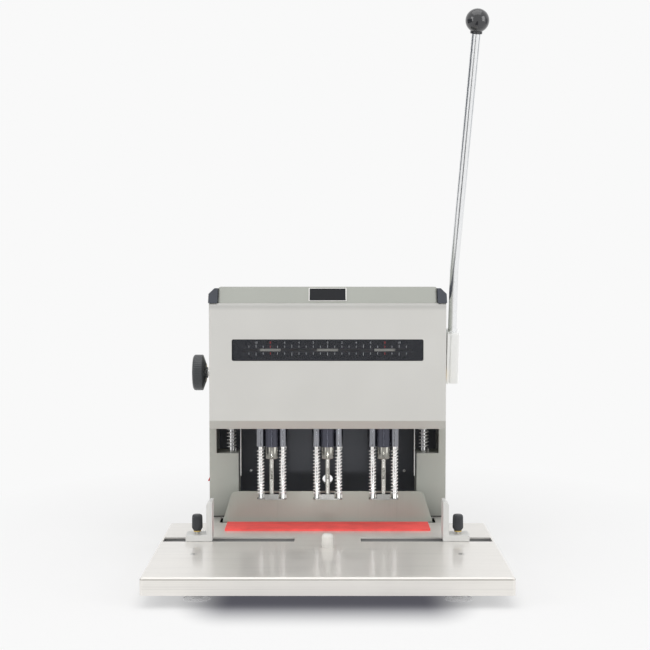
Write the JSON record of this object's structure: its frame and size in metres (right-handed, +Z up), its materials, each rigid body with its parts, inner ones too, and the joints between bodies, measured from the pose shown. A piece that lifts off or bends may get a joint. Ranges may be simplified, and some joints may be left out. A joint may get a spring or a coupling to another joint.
{
  "type": "paper drill",
  "caption": "Bench paper drill with hollow drills over a steel table, paper guides, and a side lever that pulls the drill carriage down against springs.",
  "frame": {"origin": "on the desk, at the bottom centre of the bounding box, under the middle of the machine", "axes": "+X to the operator's right, towards the lever; +Y from the operator to the back; +Z up"},
  "size_m": [0.454, 0.55, 0.7629],
  "materials": {
    "stainless": "brushed stainless sheet",
    "painted_panel": "warm light grey paint, satin",
    "painted_band": "slightly darker grey paint, satin",
    "painted_frame": "grey paint, satin",
    "cap_plastic": "dark grey moulded plastic",
    "window_tint": "smoked clear plastic",
    "scale_black": "matt black with a white scale",
    "nameplate_dark": "blank, dark, with a silver rim",
    "black_panel": "matt black",
    "zinc": "bright zinc",
    "chrome": "polished",
    "brass": "turned",
    "aluminium": "satin",
    "dark_aluminium": "dark anodised, milled",
    "fence_grey": "brushed",
    "red_rubber": "matt red cutting mat",
    "foot_rubber": "clear grey, soft",
    "white_plastic": "white, softly rounded",
    "black_plastic": "black, slightly glossy",
    "black_ball": "polished black",
    "switch_red": "red, glossy",
    "spring_steel": "bright wire",
    "tool_steel": "ground",
    "motor_can": "plated can"
  },
  "bodies": {
    "base": {"table_top": "stainless", "rear_deck": "stainless", "base_tray": "zinc", "rubber_feet": "foot_rubber", "foot_studs": "zinc", "table_screws": "zinc", "drilling_mat": "red_rubber", "centre_stop": "white_plastic", "guide_rails": "aluminium", "side_frame_left": "painted_frame", "side_frame_right": "painted_frame", "front_cover": "painted_panel", "top_cover": "painted_band", "corner_caps": "cap_plastic", "window_pane": "window_tint", "scale_plate": "scale_black", "nameplate": "nameplate_dark", "rear_cover": "painted_panel", "inner_back_panel": "black_panel", "rear_screws": "zinc", "motor_power_supply": "zinc", "power_inlet": "black_plastic", "switch_housing": "black_plastic", "guide_columns": "chrome", "return_springs": "spring_steel", "shaft_bushings": "brass"},
    "carriage": {"carriage_frame": "dark_aluminium", "rack_bar": "tool_steel", "slide_rails": "chrome", "carriage_bushings": "brass", "spindle_housing_middle": "dark_aluminium", "drill_motor_middle": "motor_can", "foot_springs_middle": "spring_steel"},
    "lever": {"lever_shaft": "tool_steel", "pinion_gear": "tool_steel", "lever_hub": "aluminium", "lever_rod": "chrome", "lever_ball": "black_ball"},
    "pitch_adjuster": {"pitch_screw": "zinc", "pitch_knob": "black_plastic"},
    "unit_left": {"spindle_housing_left": "dark_aluminium", "drill_motor_left": "motor_can", "foot_springs_left": "spring_steel"},
    "unit_right": {"spindle_housing_right": "dark_aluminium", "drill_motor_right": "motor_can", "foot_springs_right": "spring_steel"},
    "fence": {"back_fence": "fence_grey"},
    "side_guide_left": {"guide_left": "aluminium"},
    "side_guide_right": {"guide_right": "aluminium"},
    "clamp_left": {"thumb_screw_left": "black_plastic"},
    "clamp_right": {"thumb_screw_right": "black_plastic"},
    "rocker": {"switch_rocker": "switch_red"},
    "drill_left": {"spindle_left": "zinc", "drill_bit_left": "tool_steel"},
    "foot_left": {"presser_foot_left": "chrome"},
    "drill_middle": {"spindle_middle": "zinc", "drill_bit_middle": "tool_steel"},
    "foot_middle": {"presser_foot_middle": "chrome"},
    "drill_right": {"spindle_right": "zinc", "drill_bit_right": "tool_steel"},
    "foot_right": {"presser_foot_right": "chrome"}
  },
  "joints": [
    {"name": "carriage_slide", "type": "slide", "parent": "base", "child": "carriage", "axis": [0, 0, -1], "range_m": [0, 0.0335], "stiffness_N_per_m": 3000, "springref_m": -0.035, "deforming": ["return_springs"]},
    {"name": "lever_turn", "type": "hinge", "parent": "base", "child": "lever", "pos_m": [0, 0.153, 0.248], "axis": [1, 0, 0], "range_deg": [0, 70]},
    {"name": "pitch_left", "type": "slide", "parent": "carriage", "child": "unit_left", "axis": [-1, 0, 0], "range_m": [-0.02, 0.016]},
    {"name": "pitch_right", "type": "slide", "parent": "carriage", "child": "unit_right", "axis": [1, 0, 0], "range_m": [-0.02, 0.016]},
    {"name": "pitch_knob_turn", "type": "hinge", "parent": "carriage", "child": "pitch_adjuster", "pos_m": [0, 0.095, 0.253], "axis": [1, 0, 0], "range_deg": [-900, 720]},
    {"name": "fence_slide", "type": "slide", "parent": "base", "child": "fence", "axis": [0, 1, 0], "range_m": [-0.004, 0.025]},
    {"name": "side_guide_left_slide", "type": "slide", "parent": "base", "child": "side_guide_left", "axis": [-1, 0, 0], "range_m": [-0.09, 0.026]},
    {"name": "side_guide_right_slide", "type": "slide", "parent": "base", "child": "side_guide_right", "axis": [1, 0, 0], "range_m": [-0.09, 0.026]},
    {"name": "clamp_left_turn", "type": "hinge", "parent": "side_guide_left", "child": "clamp_left", "pos_m": [-0.1773, -0.0535, 0.06], "axis": [0, 0, 1], "range_deg": [0, 540]},
    {"name": "clamp_right_turn", "type": "hinge", "parent": "side_guide_right", "child": "clamp_right", "pos_m": [0.1773, -0.0535, 0.06], "axis": [0, 0, 1], "range_deg": [0, 540]},
    {"name": "rocker_tilt", "type": "hinge", "parent": "base", "child": "rocker", "pos_m": [-0.1738, 0.145, 0.0925], "axis": [0, -1, 0], "range_deg": [0, 24]},
    {"name": "drill_left_spin", "type": "hinge", "parent": "unit_left", "child": "drill_left", "pos_m": [-0.08, 0.05, 0.2], "axis": [0, 0, 1], "continuous": true},
    {"name": "foot_left_lift", "type": "slide", "parent": "unit_left", "child": "foot_left", "axis": [0, 0, 1], "range_m": [0, 0.033], "stiffness_N_per_m": 400, "springref_m": -0.02, "deforming": ["foot_springs_left"]},
    {"name": "drill_middle_spin", "type": "hinge", "parent": "carriage", "child": "drill_middle", "pos_m": [0, 0.05, 0.2], "axis": [0, 0, 1], "continuous": true},
    {"name": "foot_middle_lift", "type": "slide", "parent": "carriage", "child": "foot_middle", "axis": [0, 0, 1], "range_m": [0, 0.033], "stiffness_N_per_m": 400, "springref_m": -0.02, "deforming": ["foot_springs_middle"]},
    {"name": "drill_right_spin", "type": "hinge", "parent": "unit_right", "child": "drill_right", "pos_m": [0.08, 0.05, 0.2], "axis": [0, 0, 1], "continuous": true},
    {"name": "foot_right_lift", "type": "slide", "parent": "unit_right", "child": "foot_right", "axis": [0, 0, 1], "range_m": [0, 0.033], "stiffness_N_per_m": 400, "springref_m": -0.02, "deforming": ["foot_springs_right"]}
  ],
  "couplings": [
    {"joint": "lever_turn", "follows": "carriage_slide", "rad_per_m": 36.364},
    {"joint": "pitch_right", "follows": "pitch_left", "ratio": 1},
    {"joint": "pitch_knob_turn", "follows": "pitch_left", "rad_per_m": 785.4}
  ]
}
